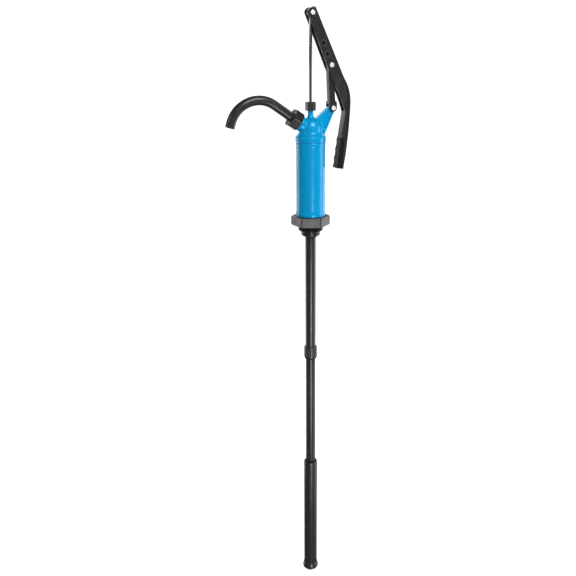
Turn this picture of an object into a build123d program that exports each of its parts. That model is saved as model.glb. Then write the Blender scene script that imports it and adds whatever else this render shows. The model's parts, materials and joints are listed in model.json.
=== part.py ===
from build123d import *
import os
from math import acos, atan2, cos, hypot, pi, radians, sin

# Hand-lever drum pump, in millimetres with +Z up. The origin lies on the pump axis, at the
# shoulder where the bung thread meets its hexagon. The spout points to -X, and the handle
# hangs on the +X side. Side profiles are drawn in the X-Z plane and extruded across Y.

os.makedirs("parts", exist_ok=True)

# ---------------------------------------------------------------- driving dimensions
running = 0.05  # radial clearance of a running fit

# Barrel: 60 mm bore, 100 mm stroke, about 0.28 litre a stroke
bore_radius = 30.0
barrel_radius = 34.6
barrel_bottom = 9.5
barrel_top = 211.0
barrel_ring_radius = 35.9
collar_radius = 36.0
collar_bottom = 199.0
collar_top = 213.0

# Head: a dome with a neck for the rod, a sloping port for the spout and a lever bracket
spigot_radius = 32.8  # barrel's top end, inside the head's collar
spigot_seat = 212.6
dome_radius = 27.0
dome_wall = 3.5
dome_centre = 229.5
neck_radius = 6.75
neck_top = 283.0
port_height = 224.7
port_angle = radians(34.6)
port_radius = 16.6
port_end = 50.0
port_bore = 11.5
port_seat = 52.0  # distance of the spout's collar from the pump axis
bracket_half = 7.0
bracket_web = 3.0
bracket_eye_radius = 7.8
bracket_eye_half = 6.4

# Gland nut on the neck
gland_flats = 21.8
gland_turn = 38.0
gland_bottom = 271.2
gland_top = 290.5
packing_top = 286.8

# Union nut that holds the spout on the port
union_flats = 41.0
union_start = 36.7
union_length = 22.0
union_seat = 54.3

# Bung adapter: 2 inch pipe thread below a hexagon
hexagon_flats = 81.5
hexagon_height = 22.6
hexagon_turn = 41.0  # degrees about +Z from a corner on +X
thread_radius = 29.8
thread_bottom = -13.8
shadow_gap_radius = 37.5
shadow_gap_floor = 21.1
barrel_seat = 8.0
valve_seat_radius = 24.0
valve_seat_floor = -4.0
socket_thread_radius = 19.0
gasket_inner = 31.0
gasket_outer = 36.5
gasket_thickness = 2.0

# Suction pipes, from the socket under the thread down to the foot
upper_tube_radius = 12.85
lower_tube_radius = 12.45
tube_wall = 2.4
upper_tube_end = -331.0
coupling_top = -315.0
coupling_bottom = -350.5
coupling_radius = 16.6
lower_tube_start = -334.5
lower_tube_end = -671.0
foot_tube_radius = 17.6
foot_tube_bore = 14.75
foot_tube_top = -645.0
foot_tube_end = -972.0
foot_bottom = -981.0

# Rod, piston and valves
rod_radius = 4.0
rod_bottom = 126.0
piston_bottom = 136.0
piston_height = 14.0
valve_lift = 4.0

# Linkage pivots as (X, Z): lever on rod, lever on link, link on bracket
rod_pivot = (0.0, 487.0)
link_pivot = (47.5, 373.2)
bracket_pivot = (53.0, 276.3)
pin_radius = 3.0
bolt_flats = 10.0
bolt_head = 4.2

# Lever: a channel open towards the rod, 22.5 mm wide across Y
lever_half = 11.25
cheek_inner = 8.0
web_wall = 2.3
ear_radius = 10.6

# Link: a bar inside the channel that ends in a fork over the bracket
link_half = 7.2
fork_half = 10.5
fork_gap = 6.5

# Spout: 22 mm tube, straight out of the port, one bend, and a short straight end
spout_radius = 11.0
spout_bore = 8.7
bend_start = 107.7
bend_radius = 68.3
outlet_turn = radians(163.0)
outlet_length = 11.5


def across(point, y=0.0):
    """Plane facing +Y through a side-profile point."""
    return Plane(origin=(point[0], y, point[1]), x_dir=(1, 0, 0), z_dir=(0, 1, 0))


def tangent_point(centre, radius, outside, side):
    """Where the line from an outside point touches a circle; side is +1 or -1."""
    dx = outside[0] - centre[0]
    dz = outside[1] - centre[1]
    turn = atan2(dz, dx) + side * acos(radius / hypot(dx, dz))
    return (centre[0] + radius * cos(turn), centre[1] + radius * sin(turn))


def along(start, end, distance):
    """The point at a distance from start towards end."""
    length = hypot(end[0] - start[0], end[1] - start[1])
    return tuple(a + (b - a) * distance / length for a, b in zip(start, end))


def ring(inner, outer, low, high):
    """A plain ring about the pump axis."""
    with BuildPart() as piece:
        with BuildSketch(Plane.XY.offset(low)):
            Circle(outer)
            Circle(inner, mode=Mode.SUBTRACT)
        extrude(amount=high - low)
    return piece.part


def hex_head(point, face_y, side):
    """A bolt head or nut standing on a face at face_y, outwards to side +1 or -1."""
    with BuildPart() as piece:
        with BuildSketch(across(point, face_y)):
            RegularPolygon(bolt_flats / 2, 6, major_radius=False)
        extrude(amount=side * bolt_head)
        outer = piece.faces().sort_by(Axis.Y)[-1 if side > 0 else 0]
        chamfer(outer.edges(), 0.5)
    return piece.part


def bolt(point, half_width):
    """A through bolt with its head on the -Y side and its end 2 mm past the nut."""
    with BuildPart() as piece:
        add(hex_head(point, -half_width, -1))
        with BuildSketch(across(point, -half_width)):
            Circle(pin_radius)
        extrude(amount=2 * half_width + bolt_head + 2.0)
        chamfer(piece.edges().filter_by(GeomType.CIRCLE).sort_by(Axis.Y)[-1], 0.6)
    return piece.part


def nut(point, half_width):
    """The nut of a through bolt, on the +Y side."""
    with BuildPart() as piece:
        add(hex_head(point, half_width, 1))
        with BuildSketch(across(point, half_width)):
            Circle(pin_radius)
        extrude(amount=bolt_head, mode=Mode.SUBTRACT)
    return piece.part


def save(piece, name):
    """Label a finished piece and write it to its own file."""
    piece.label = name
    export_step(piece, f"parts/{name}.step")


# ---------------------------------------------------------------- barrel and bung adapter
with BuildPart() as barrel_tube:
    with BuildSketch(Plane.XZ):
        with BuildLine():
            Polyline(
                (bore_radius, barrel_bottom),
                (barrel_radius, barrel_bottom),
                (barrel_radius, shadow_gap_floor),
                (barrel_ring_radius - 0.5, shadow_gap_floor),
                (barrel_ring_radius, 22.0),
                (barrel_ring_radius, 30.0),
                (barrel_radius, 35.0),
                (barrel_radius, collar_bottom),
                (spigot_radius, collar_bottom),
                (spigot_radius, barrel_top),
                (bore_radius, barrel_top),
                close=True,
            )
        make_face()
    revolve(axis=Axis.Z)
barrel_tube.part.label = "barrel_tube"
export_step(barrel_tube.part, "parts/barrel_tube.step")

with BuildPart() as bung_adapter:
    with BuildSketch():
        RegularPolygon(hexagon_flats / 2, 6, major_radius=False, rotation=hexagon_turn)
    extrude(amount=hexagon_height)
    chamfer(bung_adapter.edges().filter_by(Plane.XY), 1.0)
    with BuildSketch(Plane.XZ):
        with BuildLine():
            Polyline(
                (0, 0),
                (thread_radius, 0),
                (thread_radius, thread_bottom + 1.5),
                (thread_radius - 1.5, thread_bottom),
                (0, thread_bottom),
                close=True,
            )
        make_face()
    revolve(axis=Axis.Z)
    # Bores from the top: shadow gap, barrel seat, valve seat, socket thread
    for radius, floor in (
        (shadow_gap_radius, shadow_gap_floor),
        (barrel_radius, barrel_seat),
        (valve_seat_radius, valve_seat_floor),
        (socket_thread_radius, thread_bottom),
    ):
        with BuildSketch(Plane.XY.offset(floor)):
            Circle(radius)
        extrude(amount=hexagon_height - floor, mode=Mode.SUBTRACT)
    # Groove under the hexagon for the flat gasket
    with BuildSketch():
        Circle(gasket_outer)
        Circle(gasket_inner, mode=Mode.SUBTRACT)
    extrude(amount=gasket_thickness, mode=Mode.SUBTRACT)
bung_adapter.part.label = "bung_adapter"
export_step(bung_adapter.part, "parts/bung_adapter.step")

save(ring(gasket_inner, gasket_outer, 0.0, gasket_thickness), "bung_gasket")
save(ring(30.4, 33.6, barrel_seat, barrel_bottom), "barrel_seal_ring")
save(ring(30.4, 32.6, barrel_top, spigot_seat), "head_seal_ring")

# ---------------------------------------------------------------- pump head
port_out = Vector(-cos(port_angle), 0, sin(port_angle))
port_base = Vector(0, 0, port_height)


def port_plane(distance):
    """Plane square to the port axis, at a distance from the pump axis."""
    return Plane(origin=port_base + port_out * distance, x_dir=(0, 1, 0), z_dir=port_out)


bracket_top_root = (10.0, 251.5)
bracket_foot = (33.2, 214.0)
bracket_inside = (10.0, 226.0)
bracket_top_touch = tangent_point(bracket_pivot, bracket_eye_radius, bracket_top_root, -1)
bracket_foot_touch = tangent_point(bracket_pivot, bracket_eye_radius, bracket_foot, 1)
bracket_pocket = ((22.0, 252.0), (43.5, 269.0), (49.0, 262.0), (34.0, 227.0))

# Where the dome runs out into the neck, and the same level inside
dome_end = (11.0, 254.16)
neck_curve = (8.2, 256.9)
neck_start = (neck_radius, 261.0)
inner_dome = dome_radius - dome_wall
inner_dome_end = (5.0, 252.46)

with BuildPart() as pump_head:
    # Collar, shoulder, dome and neck
    with BuildSketch(Plane.XZ):
        with BuildLine():
            Polyline(
                (0, neck_top),
                (0, collar_bottom),
                (collar_radius - 0.6, collar_bottom),
                (collar_radius, collar_bottom + 0.6),
                (collar_radius, collar_top - 1.0),
                (collar_radius - 1.0, collar_top),
                (dome_radius + 1.0, 221.0),
                (dome_radius, 223.0),
                (dome_radius, dome_centre),
            )
            RadiusArc((dome_radius, dome_centre), dome_end, -dome_radius)
            ThreePointArc(dome_end, neck_curve, neck_start)
            Polyline(
                neck_start,
                (neck_radius, neck_top - 1.0),
                (neck_radius - 1.0, neck_top),
                (0, neck_top),
            )
        make_face()
    revolve(axis=Axis.Z)
    # Spout port: neck, flange and threaded end
    for radius, start, end in ((17.5, 14.0, 34.0), (19.5, 33.0, 36.5), (port_radius, 36.0, port_end)):
        with BuildSketch(port_plane(start)):
            Circle(radius)
        extrude(amount=end - start)
    # Lever bracket with a pivot eye
    with BuildSketch(Plane.XZ):
        with BuildLine():
            Polyline(
                bracket_top_root,
                bracket_top_touch,
                bracket_pivot,
                bracket_foot_touch,
                bracket_foot,
                bracket_inside,
                close=True,
            )
        make_face()
    extrude(amount=bracket_half, both=True)
    # Slimmer tip, so that it turns freely in the link's fork
    for side in (-1, 1):
        with BuildSketch(across(bracket_pivot, side * bracket_eye_half)):
            Circle(bracket_eye_radius + 2.5)
        extrude(amount=side * 2.0, mode=Mode.SUBTRACT)
    with BuildSketch(Plane.XZ):
        with Locations(bracket_pivot):
            Circle(bracket_eye_radius)
    extrude(amount=bracket_eye_half, both=True)
    # A pocket on each side leaves a web between two ribs
    for side in (-1, 1):
        with BuildSketch(Plane.XZ.offset(side * bracket_web)):
            with BuildLine():
                Polyline(*bracket_pocket, close=True)
            make_face()
            fillet(vertices(), 1.5)
        extrude(amount=side * 5.0, mode=Mode.SUBTRACT)
    # Chamber under the dome, and the neck's bore for the guide bush
    with BuildSketch(Plane.XZ):
        with BuildLine():
            Polyline(
                (0, neck_top + 1.0),
                (0, collar_bottom - 1.0),
                (spigot_radius, collar_bottom - 1.0),
                (spigot_radius, spigot_seat),
                (bore_radius, spigot_seat),
                (inner_dome + 1.0, 219.5),
                (inner_dome, 221.5),
                (inner_dome, dome_centre),
            )
            RadiusArc((inner_dome, dome_centre), inner_dome_end, -inner_dome)
            Polyline(inner_dome_end, (inner_dome_end[0], neck_top + 1.0), (0, neck_top + 1.0))
        make_face()
    revolve(axis=Axis.Z, mode=Mode.SUBTRACT)
    with BuildSketch(port_plane(10.0)):
        Circle(port_bore)
    extrude(amount=port_end, mode=Mode.SUBTRACT)
    with BuildSketch(across(bracket_pivot, -20.0)):
        Circle(pin_radius)
    extrude(amount=40.0, mode=Mode.SUBTRACT)
pump_head.part.label = "pump_head"
export_step(pump_head.part, "parts/pump_head.step")

# ---------------------------------------------------------------- gland
save(ring(rod_radius + running, inner_dome_end[0], 254.0, 282.0), "rod_guide_bush")
save(ring(rod_radius + 0.03, 6.7, neck_top, packing_top), "gland_packing")

with BuildPart() as gland_nut:
    with BuildSketch(Plane.XY.offset(gland_bottom)):
        RegularPolygon(gland_flats / 2, 6, major_radius=False, rotation=gland_turn)
    extrude(amount=gland_top - gland_bottom)
    chamfer(gland_nut.edges().filter_by(Plane.XY), 0.8)
    for radius, top in ((neck_radius, packing_top), (rod_radius + 0.4, gland_top)):
        with BuildSketch(Plane.XY.offset(gland_bottom)):
            Circle(radius)
        extrude(amount=top - gland_bottom, mode=Mode.SUBTRACT)
gland_nut.part.label = "gland_nut"
export_step(gland_nut.part, "parts/gland_nut.step")

# ---------------------------------------------------------------- spout
bend_in = Vector(-sin(port_angle), 0, -cos(port_angle))
bend_centre = port_base + port_out * bend_start + bend_in * bend_radius


def on_bend(turn):
    """Point of the spout's centre line at an angle about the bend's centre."""
    return bend_centre + Vector(cos(turn), 0, sin(turn)) * bend_radius


outlet_way = Vector(-sin(outlet_turn), 0, cos(outlet_turn))
outlet_end = on_bend(outlet_turn) + outlet_way * outlet_length

with BuildPart() as spout:
    with BuildLine() as spout_path:
        Line(port_base + port_out * port_seat, port_base + port_out * bend_start)
        ThreePointArc(
            port_base + port_out * bend_start,
            on_bend(pi / 2 + 0.5),
            on_bend(outlet_turn),
        )
        Line(on_bend(outlet_turn), outlet_end)
    with BuildSketch(port_plane(port_seat)):
        Circle(spout_radius)
        Circle(spout_bore, mode=Mode.SUBTRACT)
    sweep(path=spout_path.line)
    # Collar that the union nut clamps
    with BuildSketch(port_plane(port_seat)):
        Circle(15.8)
        Circle(spout_bore, mode=Mode.SUBTRACT)
    extrude(amount=2.2)
    outlet_rim = spout.edges().filter_by(GeomType.CIRCLE).sort_by_distance(outlet_end)[:2]
    fillet(outlet_rim.sort_by(SortBy.RADIUS)[-1], 1.2)
spout.part.label = "spout"
export_step(spout.part, "parts/spout.step")

with BuildPart() as spout_seal_ring:
    with BuildSketch(port_plane(port_end)):
        Circle(15.0)
        Circle(port_bore, mode=Mode.SUBTRACT)
    extrude(amount=2.0)
spout_seal_ring.part.label = "spout_seal_ring"
export_step(spout_seal_ring.part, "parts/spout_seal_ring.step")

with BuildPart() as union_nut:
    with BuildSketch(port_plane(union_start)):
        RegularPolygon(union_flats / 2, 6, major_radius=False, rotation=30.0)
    extrude(amount=union_length)
    for end, cut in ((-1, 1.6), (0, 1.0)):
        chamfer(union_nut.faces().sort_by(Axis(port_base, port_out))[end].edges(), cut)
    with BuildSketch(port_plane(union_start)):
        Circle(port_radius)
    extrude(amount=union_seat - union_start, mode=Mode.SUBTRACT)
    with BuildSketch(port_plane(union_start)):
        Circle(spout_radius + running)
    extrude(amount=union_length, mode=Mode.SUBTRACT)
union_nut.part.label = "union_nut"
export_step(union_nut.part, "parts/union_nut.step")

# ---------------------------------------------------------------- suction valve
seat_lip_top = 2.0
disc_top = 4.5
cage_top = 12.5

with BuildPart() as suction_valve_seat:
    add(ring(12.0, valve_seat_radius, valve_seat_floor, 0.0))
    add(ring(12.0, 15.0, 0.0, seat_lip_top))
suction_valve_seat.part.label = "suction_valve_seat"
export_step(suction_valve_seat.part, "parts/suction_valve_seat.step")

with BuildPart() as suction_valve_disc:
    with BuildSketch(Plane.XY.offset(seat_lip_top)):
        Circle(17.0)
    extrude(amount=disc_top - seat_lip_top)
    # Stem that the cage guides
    with BuildSketch(Plane.XY.offset(disc_top)):
        Circle(2.5)
    extrude(amount=11.5)
suction_valve_disc.part.label = "suction_valve_disc"
export_step(suction_valve_disc.part, "parts/suction_valve_disc.step")

with BuildPart() as suction_valve_cage:
    add(ring(19.5, valve_seat_radius, 0.0, cage_top))
    # Three spokes carry the guide ring, which is also the disc's stop
    with BuildSketch(Plane.XY.offset(cage_top - 3.0)):
        Circle(5.5)
        with PolarLocations(0, 3):
            Rectangle(20.5, 4.0, align=(Align.MIN, Align.CENTER))
        Circle(2.5 + running, mode=Mode.SUBTRACT)
    extrude(amount=3.0)
suction_valve_cage.part.label = "suction_valve_cage"
export_step(suction_valve_cage.part, "parts/suction_valve_cage.step")

# ---------------------------------------------------------------- suction pipes
socket_radius = 23.0
socket_step = -25.6
socket_bottom = -30.7
upper_tube_top = -10.0
upper_tube_bore = upper_tube_radius - tube_wall
lower_tube_bore = lower_tube_radius - tube_wall

with BuildPart() as suction_socket:
    with BuildSketch(Plane.XZ):
        with BuildLine():
            Polyline(
                (upper_tube_bore, valve_seat_floor),
                (socket_thread_radius, valve_seat_floor),
                (socket_thread_radius, thread_bottom),
                (socket_radius, thread_bottom),
                (socket_radius, socket_step + 1.0),
                (socket_radius - 1.0, socket_step),
                (socket_radius - 4.5, socket_step),
                (14.8, socket_bottom),
                (upper_tube_radius, socket_bottom),
                (upper_tube_radius, upper_tube_top),
                (upper_tube_bore, upper_tube_top),
                close=True,
            )
        make_face()
    revolve(axis=Axis.Z)
suction_socket.part.label = "suction_socket"
export_step(suction_socket.part, "parts/suction_socket.step")

save(ring(upper_tube_bore, upper_tube_radius, upper_tube_end, upper_tube_top), "upper_suction_tube")
save(ring(lower_tube_bore, lower_tube_radius, lower_tube_end, lower_tube_start), "lower_suction_tube")

flute_count = 12
flute_length = 24.0

with BuildPart() as tube_coupling:
    with BuildSketch(Plane.XZ):
        with BuildLine():
            Polyline(
                (lower_tube_radius, coupling_bottom),
                (13.8, coupling_bottom),
                (coupling_radius - 0.6, coupling_bottom + 3.5),
                (coupling_radius - 0.6, coupling_bottom + 5.0),
                (coupling_radius, coupling_bottom + 5.6),
                (coupling_radius, coupling_top - 4.0),
                (coupling_radius - 1.2, coupling_top - 1.2),
                (14.0, coupling_top),
                (upper_tube_radius, coupling_top),
                (upper_tube_radius, upper_tube_end - 1.0),
                (upper_tube_bore, upper_tube_end - 1.0),
                (upper_tube_bore, lower_tube_start + 1.0),
                (lower_tube_radius, lower_tube_start + 1.0),
                close=True,
            )
        make_face()
    revolve(axis=Axis.Z)
    # Hand-grip flutes round the barrel of the coupling
    with BuildSketch(Plane.XY.offset(coupling_bottom + 6.0)):
        with PolarLocations(coupling_radius + 1.2, flute_count):
            Circle(2.0)
    extrude(amount=flute_length, mode=Mode.SUBTRACT)
tube_coupling.part.label = "tube_coupling"
export_step(tube_coupling.part, "parts/tube_coupling.step")

with BuildPart() as coupling_seals:
    add(ring(upper_tube_bore + 0.2, lower_tube_radius, upper_tube_end - 1.0, upper_tube_end))
    add(ring(upper_tube_bore + 0.2, lower_tube_radius, lower_tube_start, lower_tube_start + 1.0))
coupling_seals.part.label = "coupling_seals"
export_step(coupling_seals.part, "parts/coupling_seals.step")

# ---------------------------------------------------------------- telescopic foot
guide_radius = 15.6
guide_top = foot_tube_top - 1.5
guide_bottom = foot_tube_top - 7.0
carrier_top = guide_bottom - 0.1

with BuildPart() as foot_tube:
    add(ring(foot_tube_bore, foot_tube_radius, foot_tube_end, foot_tube_top))
    # Seat of the guide bush
    with BuildSketch(Plane.XY.offset(guide_bottom)):
        Circle(guide_radius)
    extrude(amount=foot_tube_top - guide_bottom, mode=Mode.SUBTRACT)
    chamfer(foot_tube.edges().filter_by(GeomType.CIRCLE).sort_by(Axis.Z)[-1], 0.5)
foot_tube.part.label = "foot_tube"
export_step(foot_tube.part, "parts/foot_tube.step")

save(ring(lower_tube_radius + running, guide_radius, guide_bottom, guide_top), "foot_guide_bush")

# Seal between the lower tube and the foot tube, in a groove of its carrier
carrier_radius = 14.4
slide_seal_inner = 13.4
slide_seal_low = -666.0
slide_seal_high = -662.0

with BuildPart() as slide_seal_carrier:
    add(ring(lower_tube_radius, carrier_radius, lower_tube_end, carrier_top))
    with BuildSketch(Plane.XY.offset(slide_seal_low)):
        Circle(carrier_radius)
        Circle(slide_seal_inner, mode=Mode.SUBTRACT)
    extrude(amount=slide_seal_high - slide_seal_low, mode=Mode.SUBTRACT)
slide_seal_carrier.part.label = "slide_seal_carrier"
export_step(slide_seal_carrier.part, "parts/slide_seal_carrier.step")

slide_seal_outer = foot_tube_bore - running
save(ring(slide_seal_inner, slide_seal_outer, slide_seal_low, slide_seal_high), "slide_seal_ring")

strainer_radius = 20.6
strainer_floor = 4.0

with BuildPart() as foot_strainer:
    with BuildSketch(Plane.XZ):
        with BuildLine():
            Polyline(
                (0, foot_bottom),
                (strainer_radius - 4.0, foot_bottom),
                (strainer_radius, foot_bottom + 5.5),
                (strainer_radius, foot_bottom + 12.0),
                (strainer_radius - 1.7, foot_bottom + 18.5),
                (foot_tube_radius, foot_bottom + 20.0),
                (foot_tube_radius, foot_tube_end),
                (foot_tube_bore, foot_tube_end),
                (foot_tube_bore, foot_bottom + strainer_floor),
                (0, foot_bottom + strainer_floor),
                close=True,
            )
        make_face()
    revolve(axis=Axis.Z)
    # Inlet holes in the floor and notches under the rim
    with BuildSketch(Plane.XY.offset(foot_bottom)):
        with PolarLocations(8.5, 6):
            Circle(2.4)
        Circle(2.4)
    extrude(amount=strainer_floor, mode=Mode.SUBTRACT)
    with BuildSketch(Plane.XY.offset(foot_bottom)):
        with PolarLocations(12.5, 6, start_angle=30):
            Rectangle(12.0, 5.0, align=(Align.MIN, Align.CENTER))
    extrude(amount=3.0, mode=Mode.SUBTRACT)
foot_strainer.part.label = "foot_strainer"
export_step(foot_strainer.part, "parts/foot_strainer.step")

# ---------------------------------------------------------------- rod and piston
rod_top = 482.0
eye_socket_floor = 474.0

with BuildPart() as piston_rod:
    with BuildSketch(Plane.XY.offset(rod_bottom)):
        Circle(rod_radius)
    extrude(amount=rod_top - rod_bottom)
    chamfer(piston_rod.edges().filter_by(GeomType.CIRCLE).sort_by(Axis.Z)[0], 0.8)
piston_rod.part.label = "piston_rod"
export_step(piston_rod.part, "parts/piston_rod.step")

with BuildPart() as rod_end_eye:
    with BuildSketch(Plane.XZ):
        with Locations(rod_pivot):
            Circle(9.0)
    extrude(amount=cheek_inner - 0.1, both=True)
    with BuildSketch(Plane.XY.offset(eye_socket_floor)):
        Circle(6.0)
    extrude(amount=rod_top - eye_socket_floor)
    with BuildSketch(Plane.XY.offset(eye_socket_floor)):
        Circle(rod_radius)
    extrude(amount=rod_top - eye_socket_floor, mode=Mode.SUBTRACT)
    with BuildSketch(across(rod_pivot, -20.0)):
        Circle(pin_radius + running)
    extrude(amount=40.0, mode=Mode.SUBTRACT)
rod_end_eye.part.label = "rod_end_eye"
export_step(rod_end_eye.part, "parts/rod_end_eye.step")

piston_radius = 29.3
groove_radius = 25.5
groove_low = piston_bottom + 4.0
groove_high = piston_bottom + 10.0
valve_floor = piston_bottom + piston_height
valve_disc_thickness = 2.5

with BuildPart() as piston_body:
    add(ring(rod_radius, piston_radius, piston_bottom, valve_floor))
    with BuildSketch(Plane.XY.offset(groove_low)):
        Circle(piston_radius)
        Circle(groove_radius, mode=Mode.SUBTRACT)
    extrude(amount=groove_high - groove_low, mode=Mode.SUBTRACT)
    # Flow holes under the piston's valve disc
    with BuildSketch(Plane.XY.offset(piston_bottom)):
        with PolarLocations(15.0, 6):
            Circle(4.0)
    extrude(amount=piston_height, mode=Mode.SUBTRACT)
piston_body.part.label = "piston_body"
export_step(piston_body.part, "parts/piston_body.step")

save(ring(groove_radius, bore_radius - running, groove_low, groove_high), "piston_seal")

valve_disc_top = valve_floor + valve_disc_thickness
save(ring(rod_radius + running, 21.0, valve_floor, valve_disc_top), "piston_valve_disc")

stop_floor = valve_disc_top + valve_lift + 0.3
save(ring(rod_radius, 9.0, stop_floor, stop_floor + 3.0), "piston_valve_stop")

piston_nut_height = 6.5
with BuildPart() as piston_nut:
    with BuildSketch(Plane.XY.offset(piston_bottom - piston_nut_height)):
        RegularPolygon(6.5, 6, major_radius=False)
        Circle(rod_radius, mode=Mode.SUBTRACT)
    extrude(amount=piston_nut_height)
piston_nut.part.label = "piston_nut"
export_step(piston_nut.part, "parts/piston_nut.step")

# ---------------------------------------------------------------- lever
lever_corner = (7.6, 499.8)
knee_start = (79.4, 344.5)
knee_middle = (92.9, 316.0)
knee_end = (96.9, 284.0)
back_middle = (93.3, 227.0)
heel = (80.3, 131.8)
toe = (61.2, 134.6)
ridge_top = (71.0, 200.5)
grip_top = (73.8, 206.5)
blade_tip = (83.4, 264.5)
blade_middle = (69.2, 304.5)
blade_start = (50.5, 340.0)
ear_touch = tangent_point(rod_pivot, ear_radius, blade_start, -1)
finger_count = 3
finger_dip = 1.8

# Cheek relief, by distance from the rod pivot towards the link pivot
spare_holes = (71.0, 97.4)
spare_hole_radius = 2.6
boss_radius = 6.0
boss_rise = 0.5
rim_width = 2.4
relief = 0.8
panel_relief = 1.6
dimples = (14.0, 84.2, 110.5)

# Groove along the lower arm, which widens towards the grip
groove_depth = 1.4
groove_back = [(84.0, 334.0), (90.4, 312.0), (92.6, 285.0), (90.8, 240.0), (87.0, 206.0)]
groove_front = [(80.5, 207.5), (84.5, 228.0), (88.4, 262.0), (89.8, 290.0), (87.6, 312.0), (82.8, 331.0)]

# Outline of the grip's seat on the lever, and of the core that the grip wraps
grip_seat = ((83.8, 204.5), (58.0, 208.5), (44.0, 137.5), (76.5, 135.0))
grip_core_edge = ((78.5, 205.3), (66.5, 135.8))
grip_core_half = 6.0


def beside(point, start, end, distance):
    """The point moved square off the way from start to end, to its right."""
    dx = end[0] - start[0]
    dz = end[1] - start[1]
    length = hypot(dx, dz)
    return (point[0] + distance * dz / length, point[1] - distance * dx / length)


def back_point(down, inset):
    """A point down the lever's straight back edge, inset into the lever."""
    return beside(along(lever_corner, knee_start, down), lever_corner, knee_start, inset)


def front_point(down, inset):
    """A point down the cheeks' free edge, inset into the lever."""
    return beside(along(ear_touch, blade_start, down), ear_touch, blade_start, -inset)


def finger_arcs(start, end, bulge):
    """Arcs from start to end, hollowed for the fingers by the bulge."""
    dx = (end[0] - start[0]) / finger_count
    dz = (end[1] - start[1]) / finger_count
    arcs = []
    for i in range(finger_count):
        first = (start[0] + i * dx, start[1] + i * dz)
        last = (first[0] + dx, first[1] + dz)
        middle = ((first[0] + last[0]) / 2, (first[1] + last[1]) / 2)
        arcs.append((first, beside(middle, start, end, bulge), last))
    return arcs


with BuildPart() as lever_arm:
    with BuildSketch(Plane.XZ):
        with BuildLine():
            Line(lever_corner, knee_start)
            ThreePointArc(knee_start, knee_middle, knee_end)
            ThreePointArc(knee_end, back_middle, heel)
            Line(heel, toe)
            for first, middle, last in finger_arcs(toe, ridge_top, finger_dip):
                ThreePointArc(first, middle, last)
            Polyline(ridge_top, grip_top, blade_tip)
            ThreePointArc(blade_tip, blade_middle, blade_start)
            Polyline(blade_start, ear_touch, rod_pivot, lever_corner)
        make_face()
        with Locations(rod_pivot):
            Circle(ear_radius)
    extrude(amount=lever_half, both=True)
    # Cheek face sunk between its rims, with bosses left round every hole
    for side in (-1, 1):
        with BuildSketch(Plane.XZ.offset(side * (lever_half - relief))):
            with BuildLine():
                Polyline(
                    back_point(24.0, rim_width),
                    back_point(150.0, rim_width),
                    front_point(150.0, rim_width),
                    front_point(16.0, rim_width),
                    close=True,
                )
            make_face()
            fillet(vertices(), 2.0)
            for distance, radius in ((0.0, ear_radius), (14.0, 6.5), (125.0, 7.5)):
                with Locations(along(rod_pivot, link_pivot, distance)):
                    Circle(radius, mode=Mode.SUBTRACT)
        extrude(amount=side * 5.0, mode=Mode.SUBTRACT)
    # Raised rims round the pivot and round the two spare pivot holes
    for distance, radius in ((0.0, ear_radius), *((hole, boss_radius) for hole in spare_holes)):
        with BuildSketch(Plane.XZ):
            with Locations(along(rod_pivot, link_pivot, distance)):
                Circle(radius)
                Circle(radius - 1.6, mode=Mode.SUBTRACT)
        extrude(amount=lever_half + boss_rise, both=True)
    # Channel between the cheeks, open towards the rod
    with BuildSketch(Plane.XZ):
        with BuildLine():
            channel_top = back_point(-10.0, web_wall)
            channel_knee = beside(knee_start, lever_corner, knee_start, web_wall)
            channel_end = (knee_end[0] - web_wall, knee_end[1] + 1.0)
            Line(channel_top, channel_knee)
            ThreePointArc(channel_knee, (knee_middle[0] - web_wall, knee_middle[1] - 1.4), channel_end)
            Polyline(channel_end, (93.0, 267.0), (-30.0, 267.0), (-30.0, 515.0), channel_top)
        make_face()
    extrude(amount=cheek_inner, both=True, mode=Mode.SUBTRACT)
    # Pivot holes and spare holes
    for distance in spare_holes:
        with BuildSketch(across(along(rod_pivot, link_pivot, distance), -20.0)):
            Circle(spare_hole_radius)
        extrude(amount=40.0, mode=Mode.SUBTRACT)
    for pivot in (rod_pivot, link_pivot):
        with BuildSketch(across(pivot, -20.0)):
            Circle(pin_radius)
        extrude(amount=40.0, mode=Mode.SUBTRACT)
    # Deeper panel and dimples on the outside of the cheeks
    cheek_turn = atan2(link_pivot[1] - rod_pivot[1], link_pivot[0] - rod_pivot[0]) * 180 / pi
    for side in (-1, 1):
        with BuildSketch(Plane.XZ.offset(side * (lever_half - panel_relief))):
            with Locations(along(rod_pivot, link_pivot, 42.0)):
                RectangleRounded(37.0, 12.0, 2.0, rotation=cheek_turn)
            for distance in dimples:
                with Locations(along(rod_pivot, link_pivot, distance)):
                    Circle(1.5)
        extrude(amount=side * 5.0, mode=Mode.SUBTRACT)
    # Groove along each side of the lower arm
    for side in (-1, 1):
        with BuildSketch(Plane.XZ.offset(side * (lever_half - groove_depth))):
            with BuildLine():
                Spline(groove_back)
                Line(groove_back[-1], groove_front[0])
                Spline(groove_front)
                Line(groove_front[-1], groove_back[0])
            make_face()
        extrude(amount=side * 5.0, mode=Mode.SUBTRACT)
    # Seat of the grip pad: the pad wraps a core on the finger side
    for side in (-1, 1):
        with BuildSketch(Plane.XZ.offset(side * grip_core_half)):
            with BuildLine():
                Polyline(*grip_seat, close=True)
            make_face()
        extrude(amount=side * 8.0, mode=Mode.SUBTRACT)
    with BuildSketch(Plane.XZ):
        with BuildLine():
            Polyline(grip_core_edge[0], grip_seat[1], grip_seat[2], grip_core_edge[1], close=True)
        make_face()
    extrude(amount=20.0, both=True, mode=Mode.SUBTRACT)
lever_arm.part.label = "lever_arm"
export_step(lever_arm.part, "parts/lever_arm.step")

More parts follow.
